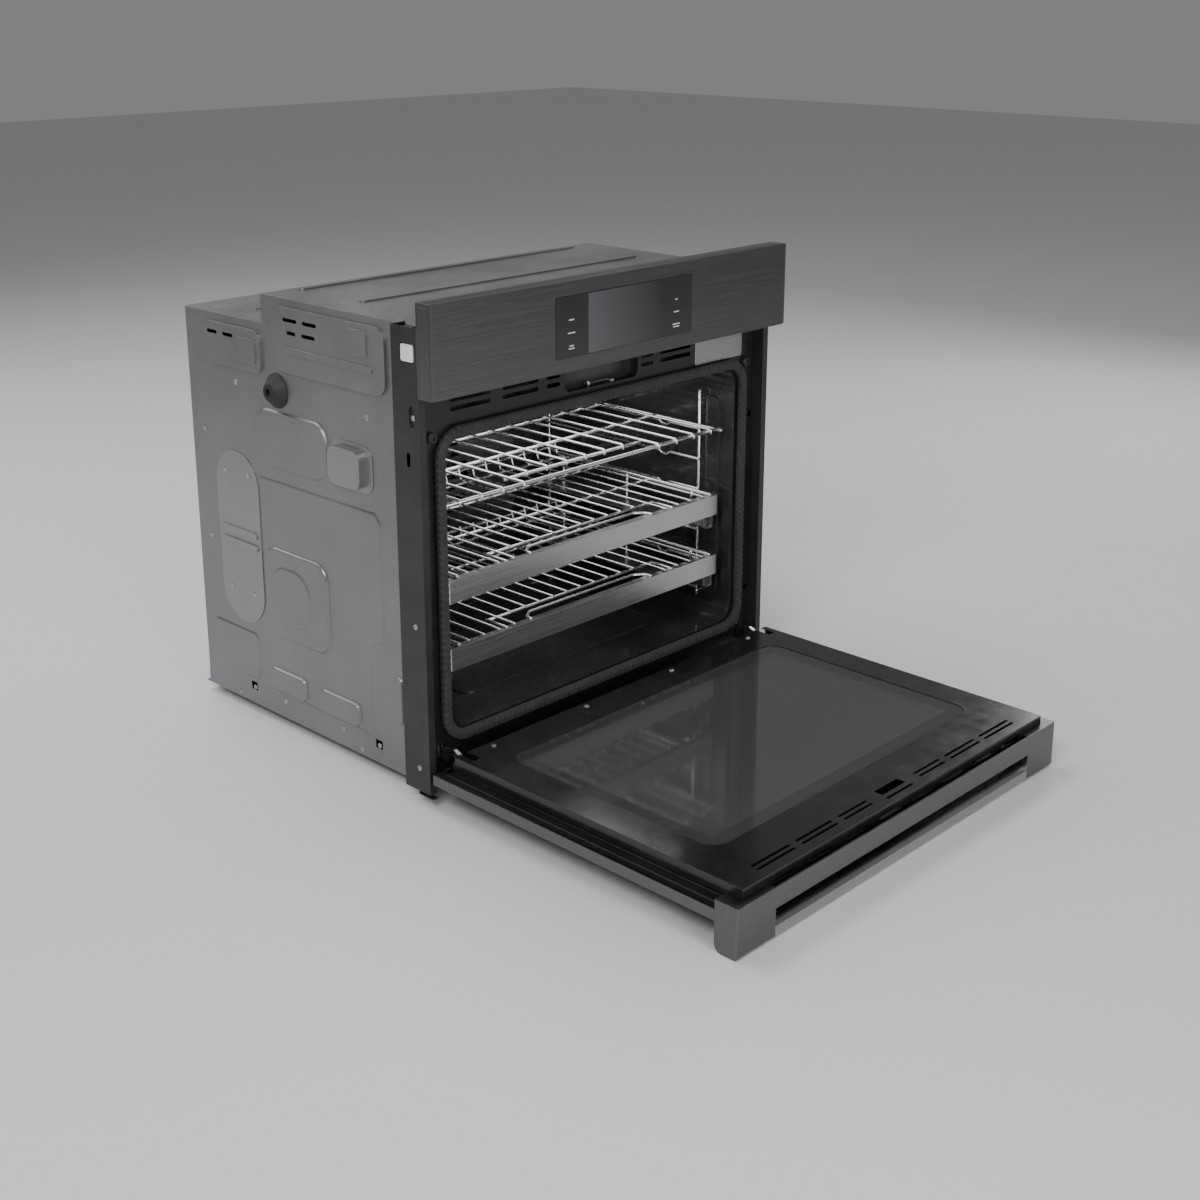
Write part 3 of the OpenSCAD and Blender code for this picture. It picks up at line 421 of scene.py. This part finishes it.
def top_rack():
    """Loose wire rack with a raised back rail."""
    wires = Wires()
    z = TOP_RUNG + 0.0123
    wide, below, thick = 0.302, -0.0044, 0.0028
    cross = [(wide, 0.039, -0.0032, 0.003), (wide / 2, 0.079, below, thick), (wide, 0.18, below, thick),
             (wide, 0.3, below, thick), (wide, 0.396, below, thick), (wide, 0.4124, 0.0111, thick)]
    for x, y, lift, radius in cross:
        wires.add([(-x, y, z + lift), (x, y, z + lift)], radius)
    for side in (1, -1):
        x = side * 0.3034
        wires.add([(x, 0.034, z - 0.0056), (x, 0.406, z - 0.0056), (x, 0.413, z + 0.016)], 0.003, 0.008)
        for i in range(7):
            x = side * (i + 0.5) * TOP_PITCH
            front = 0.0754 if i < 3 else 0.0356
            run = [(x, front, z - 0.007), (x, front, z), (x, 0.403, z), (x, 0.4094, z + 0.0152)]
            wires.add(run, 0.0022, 0.004)
            for y in (0.18, 0.3, 0.396):
                wires.weld((x, y, z - 0.0022), 0.003)
    wires.make("top_rack_wires", "top_rack", "top_rack")


def glide_rack(name, rung, body, node):
    """Wire deck of a glide rack."""
    wires = Wires()
    z = rung + 0.077
    edge = 0.283
    for side in (1, -1):
        x = side * edge
        wires.add([(x, 0.038, z - 0.0012), (x, 0.4046, z - 0.0012), (x, 0.4116, z + 0.02)], 0.0028, 0.008)
        for y in (0.08, 0.23, 0.388):
            wires.add([(x, y, rung + 0.033), (x, y, z - 0.002)], 0.0026)
        for i in range(9):
            x = side * (i + 0.5) * GLIDE_PITCH
            front = 0.081 if i < 5 else 0.038
            wires.add([(x, front, z), (x, 0.402, z), (x, 0.4084, z + 0.02)], 0.0017, 0.005)
            for y in (0.18, 0.3, 0.394):
                wires.weld((x, y, z - 0.0015), 0.0024)
        wires.add([(side * 0.186, 0.086, z - 0.0018), (side * 0.186, 0.038, z - 0.0018)], 0.0022)
    grip = [(0.136, 0.038), (0.134, 0.05), (0.118, 0.0632)]
    grip = [(x, y, z - 0.0018) for x, y in grip]
    wires.add(grip + mirrored(grip)[::-1], 0.0022, 0.014)
    wires.add([(-0.186, 0.084, z - 0.003), (0.186, 0.084, z - 0.003)], 0.0024)
    for y in (0.18, 0.3, 0.394):
        wires.add([(-edge, y, z - 0.0036), (edge, y, z - 0.0036)], 0.0024)
    wires.add([(-edge, 0.4102, z + 0.0142), (edge, 0.4102, z + 0.0142)], 0.0025)
    wires.make(name, body, node)


def gasket():
    """Braided rope seal: two families of strands wound round a flat section."""
    low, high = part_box("door_gasket")
    half_w, half_d, corner = 0.0085, 0.0062, 0.038
    left, right = low.x + half_w, high.x - half_w
    floor, roof = low.z + half_w, high.z - half_w
    y = (low.y + high.y) / 2
    line = []
    step, arc_points = 0.0013, 46
    for cx, cz, turn in ((right, roof, 0), (left, roof, 90), (left, floor, 180), (right, floor, 270)):
        sx, sz = math.copysign(corner, cx), (corner if cz == roof else -corner)
        centre = Vector((cx - sx, y, cz - sz))
        for k in range(arc_points):
            angle = math.radians(turn + 90 * k / arc_points)
            out = Vector((math.cos(angle), 0, math.sin(angle)))
            line.append((centre + out * corner, out))
        angle = math.radians(turn + 90)
        out = Vector((math.cos(angle), 0, math.sin(angle)))
        begin = centre + out * corner
        ahead = Vector((-out.z, 0, out.x))
        length = (right - left if turn in (0, 180) else roof - floor) - 2 * corner
        runs = int(length / step)
        line += [(begin + ahead * (length * k / runs), out) for k in range(runs)]
    sides, strands, pitch = 30, 3, 0.0105
    verts, faces = [], []
    for i, (centre, out) in enumerate(line):
        for k in range(sides):
            turn = 2 * math.pi * k / sides
            c, s = math.cos(turn), math.sin(turn)
            wave = 2 * math.pi * i * step / pitch
            over = max(math.cos(strands * turn + wave), math.cos(strands * turn - wave))
            sink = 0.0009 * (1 - over)
            flat = (half_w - half_d) * max(-1, min(1, 3 * c))
            reach = half_d - sink
            verts.append(centre + out * (flat + reach * c) + Vector((0, reach * s, 0)))
    rings = len(line)
    for i in range(rings):
        for k in range(sides):
            here, there, side = i * sides, (i + 1) % rings * sides, (k + 1) % sides
            faces.append((here + k, there + k, there + side, here + side))
    made = piece("gasket_rope", verts, faces, "base", "glass_fibre_rope")
    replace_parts(made, "door_gasket")


class Sheet:
    """Pressed sheet metal: a flat outline with raised pads and slots, mapped into place."""

    SLOPE = 0.0036  # width of a pad's sloping edge
    STEPS = 5  # rings across that edge
    STEEL = 0.0012

    def __init__(self, place):
        self.place = place
        self.verts = []
        self.flat = []
        self.faces = []
        self.level = []

    def loop(self, outline, offset, height):
        """One ring of vertices, offset outwards from the outline."""
        first = len(self.verts)
        count = len(outline)
        for k, point in enumerate(outline):
            run = outline[(k + 1) % count] - outline[k - 1]
            out = Vector((run.y, -run.x)).normalized()
            spot = point + out * offset
            self.flat.append(spot)
            self.verts.append(self.place(spot.x, spot.y, height))
        return list(range(first, first + count))

    def bridge(self, outer, inner):
        for k in range(len(outer)):
            n = (k + 1) % len(outer)
            self.faces.append((outer[k], outer[n], inner[n], inner[k]))

    def fill(self, outer, holes):
        """Level triangles between an outline and the holes in it."""
        order = outer + [v for hole in holes for v in hole]
        rings = [[self.flat[v].to_3d() for v in ring] for ring in [outer] + holes]
        for triangle in tessellate_polygon(rings):
            self.level.append(tuple(order[k] for k in triangle))

    def region(self, outer, height, pads, slots=()):
        """Fills outer, around its pads and slots, and then each pad in turn."""
        holes = []
        for rise, corners, radius, inner, cuts in pads:
            outline = soft_loop(corners, radius)
            rings = []
            for k in range(self.STEPS + 1):
                share = k / self.STEPS
                lift = share * share * (3 - 2 * share)
                rings.append(self.loop(outline, self.SLOPE * (0.5 - share), height + rise * lift))
            for wide, narrow in zip(rings, rings[1:]):
                self.bridge(wide, narrow)
            holes.append(rings[0])
            self.region(rings[-1], height + rise, inner, cuts)
        for corners in slots:
            holes.append(self.loop(soft_loop(corners, 0.0028), 0, height))
        self.fill(outer, holes)

    def make(self, name, turned):
        """The sheet with its thickness, flat where it is level and smooth on its slopes."""
        faces = self.faces + self.level
        if turned:
            faces = [face[::-1] for face in faces]
        made = piece(name, self.verts, faces, "base", "galvanised_sheet")
        for face in made.data.polygons[len(self.faces):]:
            face.use_smooth = False
        solid = made.modifiers.new("thickness", "SOLIDIFY")
        solid.thickness = self.STEEL
        solid.offset = -1
        return made


def soft_loop(corners, radius):
    """Closed outline with round corners, anticlockwise."""
    corners = [Vector((*corner, 0)) for corner in corners]
    line = []
    for k, corner in enumerate(corners):
        after = corners[(k + 1) % len(corners)]
        line += [point.to_2d() for point in arc(corners[k - 1], corner, after, radius, 8, 0.49)]
    return line


def block(y0, y1, z0, z1):
    """Four corners, anticlockwise, from edges in millimetres."""
    return [(y0 * MM, z0 * MM), (y1 * MM, z0 * MM), (y1 * MM, z1 * MM), (y0 * MM, z1 * MM)]


def pad(rise, y0, y1, z0, z1, radius, inner=(), cuts=()):
    return (rise * MM, block(y0, y1, z0, z1), radius * MM, inner, cuts)


def side_panels():
    """Left and right side panels with soft pressings."""
    step = [(126, 203), (161, 186), (161, 43), (421, 43), (421, 399), (137, 399), (126, 388)]
    bulge = [(86, 74), (122, 100), (122, 112), (86, 180)]
    on_step = (pad(3.4, 256, 414, 143, 289, 28, (pad(2, 299, 396, 169, 262, 38),)),
               pad(4.4, 325, 414, 46, 83, 8), pad(4.4, 190, 283, 46, 83, 8))
    pads = (pad(4, 243, 419, 423, 512, 30),
            (1.6 * MM, [(y * MM, z * MM) for y, z in step], 0.008, on_step, ()),
            pad(2, 451, 572, 46, 126, 10),
            (4 * MM, [(y * MM, z * MM) for y, z in bulge], 0.008, (), ()))
    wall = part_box("base_tray")[1].x
    for side, node in ((-1, "side_panel_left"), (1, "side_panel_right")):
        skin = Sheet(lambda y, z, h, s=side: (s * (wall + h), y, z))
        edge = skin.loop(soft_loop(block(21.2, 600, 38, 551), 0.0005), 0, 0)
        holes = (block(173, 210, 446, 470),) if side < 0 else ()
        skin.region(edge, 0, pads, holes)
        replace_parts(skin.make(node + "_sheet", side < 0), node)


def slab(name, x, y, z, corner, body, slot, finish=None, chamfer=0.0003, steps=6):
    """A thin plate facing -Y with a chamfered front edge. x, y and z are (low, high)."""
    outline = []
    for cx, cz, turn in ((x[1], z[1], 0), (x[0], z[1], 90), (x[0], z[0], 180), (x[1], z[0], 270)):
        mx = cx - math.copysign(corner, cx - (x[0] + x[1]) / 2)
        mz = cz - math.copysign(corner, cz - (z[0] + z[1]) / 2)
        for k in range(steps + 1):
            angle = math.radians(turn + 90 * k / steps)
            outline.append((mx, mz, math.cos(angle), math.sin(angle)))
    verts, faces = [], []
    for depth, shrink in ((y[1], 0), (y[0] + chamfer, 0), (y[0], chamfer)):
        for mx, mz, c, s in outline:
            reach = corner - shrink
            verts.append((mx + reach * c, depth, mz + reach * s))
    n = len(outline)
    for j in (0, 1):
        for k in range(n):
            a, b = j * n + k, j * n + (k + 1) % n
            faces.append((a, b, b + n, a + n))
    faces.append(tuple(range(n - 1, -1, -1)))
    faces.append(tuple(2 * n + k for k in range(n)))
    return piece(name, verts, faces, body, slot, finish, smooth=False)


def touch_panel():
    """Screen, with a painted reflection that fades from left to right, and small plain marks on the touch
    glass.
    """
    low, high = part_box("touch_glass")
    face = low.y
    screen = Finish("screen_glass", (0.035, 0.035, 0.04), 0.0, 0.08, Coat_Weight=1.0, Coat_Roughness=0.02)
    # The screen's colour runs from lighter at its left end to darker at its right: a painted reflection on
    # the glass.
    painted_reflection_x = screen.add("SeparateXYZ", {"Vector": screen.place()}).outputs["X"]
    screen.tint(screen.span(painted_reflection_x, 0, 1, -0.08, 0.075), (0.075, 0.076, 0.082), (0.012, 0.012, 0.014))
    screen.rough(screen.noise(16, detail=6.0), 0.07, 0.12)
    slab("touch_screen", (-0.081, 0.076), (face - 0.00012, face), (low.z + 0.001, high.z - 0.001),
         0.0004, "base", "touch_panel", screen.material, 0.00004)
    ink = Finish("mark_ink", (0.62, 0.62, 0.62), 0.0, 0.5)
    ink.rough(ink.noise(300), 0.45, 0.6)
    rows = (0.674, 0.655, 0.636, 0.632)
    columns = {-0.116: (0.011, 0.015, 0.009, 0.012), 0.111: (0.006, 0.012, 0.017, 0.014)}
    marks = [(x, z, width) for x, widths in columns.items() for z, width in zip(rows, widths)]
    for n, (x, z, width) in enumerate(marks):
        slab(f"touch_mark_{n}", (x - width / 2, x + width / 2), (face - 0.00008, face),
             (z - 0.0009, z + 0.0009), 0.0008, "base", "touch_panel", ink.material, 0.00003, 3)


def rating_plate():
    """Blank plate on the frame."""
    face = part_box("front_frame")[0].y
    grain = brushed("plate_grain", (0.34, 0.34, 0.34), (0.5, 0.5, 0.5), 0, 0.34, 0.0003)
    slab("rating_plate", (0.216, 0.333), (face - 0.0009, face), (0.545, 0.592), 0.004,
         "base", "plated_sheet", grain)


# ---- stage -----------------------------------------------------------------

def area_light(name, at, aim, size, power):
    """Soft box at one point, turned to another."""
    light = bpy.data.lights.new(name, "AREA")
    light.shape = "RECTANGLE"
    light.size, light.size_y = size
    light.energy = power
    made = bpy.data.objects.new(name, light)
    made.location = at
    made.rotation_euler = (Vector(aim) - Vector(at)).to_track_quat("-Z", "Y").to_euler()
    made.visible_camera = False
    bpy.context.scene.collection.objects.link(made)


def studio():
    """Pale floor, soft lights and the camera."""
    floor_z = CAD_BOX[0].z - 0.001
    reach = 12.0
    corners = [(x * reach, y * reach, floor_z) for x, y in ((-1, -1), (1, -1), (1, 1), (-1, 1))]
    mesh = bpy.data.meshes.new("studio_floor")
    mesh.from_pydata(corners, [], [(0, 1, 2, 3)])
    cover = Finish("floor_paint", (0.72, 0.72, 0.72), 0.0, 0.75)
    cover.rough(cover.noise(3), 0.7, 0.85)
    mesh.materials.append(cover.material)
    floor = bpy.data.objects.new("studio_floor", mesh)
    bpy.context.scene.collection.objects.link(floor)

    world = bpy.data.worlds.new("studio")
    world.use_nodes = True
    sky = world.node_tree.nodes["Background"]
    sky.inputs["Color"].default_value = (0.9, 0.92, 0.95, 1)
    sky.inputs["Strength"].default_value = 0.24
    bpy.context.scene.world = world

    area_light("key", (-2.6, -1.2, 2.6), (0, 0, 0.35), (1.6, 1.2), 62)
    area_light("top", (-0.3, 1.6, 3.0), (0, 0.2, 0.2), (2.6, 1.2), 46)
    area_light("front", (-0.9, -3.2, 1.0), (0, 0.2, 0.3), (1.5, 1.2), 52)
    area_light("right", (3.0, 0.2, 1.6), (0, 0, 0.4), (1.4, 1.4), 24)
    area_light("cavity", (0, 0.18, 0.499), (0, 0.2, 0.1), (0.5, 0.26), 0.9)
    area_light("back", (-0.5, 3.2, 2.2), (0, 0.4, 0.4), (2.2, 1.4), 30)

    lens = bpy.data.cameras.new("camera")
    lens.sensor_width = 36
    lens.lens = CAMERA_LENS
    lens.shift_y = CAMERA_SHIFT
    lens.clip_end = 50
    camera = bpy.data.objects.new("camera", lens)
    camera.location = CAMERA_AT
    camera.rotation_euler = (math.radians(90 - CAMERA_DIP), 0, math.radians(-CAMERA_TURN))
    bpy.context.scene.collection.objects.link(camera)
    bpy.context.scene.camera = camera


studio()
dress_frame()
ladders()
top_rack()
glide_rack("mid_rack_wires", MID_RUNG, "mid_rack", "mid_rack")
glide_rack("low_rack_wires", LOW_RUNG, "low_rack", "low_rack")
gasket()
side_panels()
touch_panel()
rating_plate()
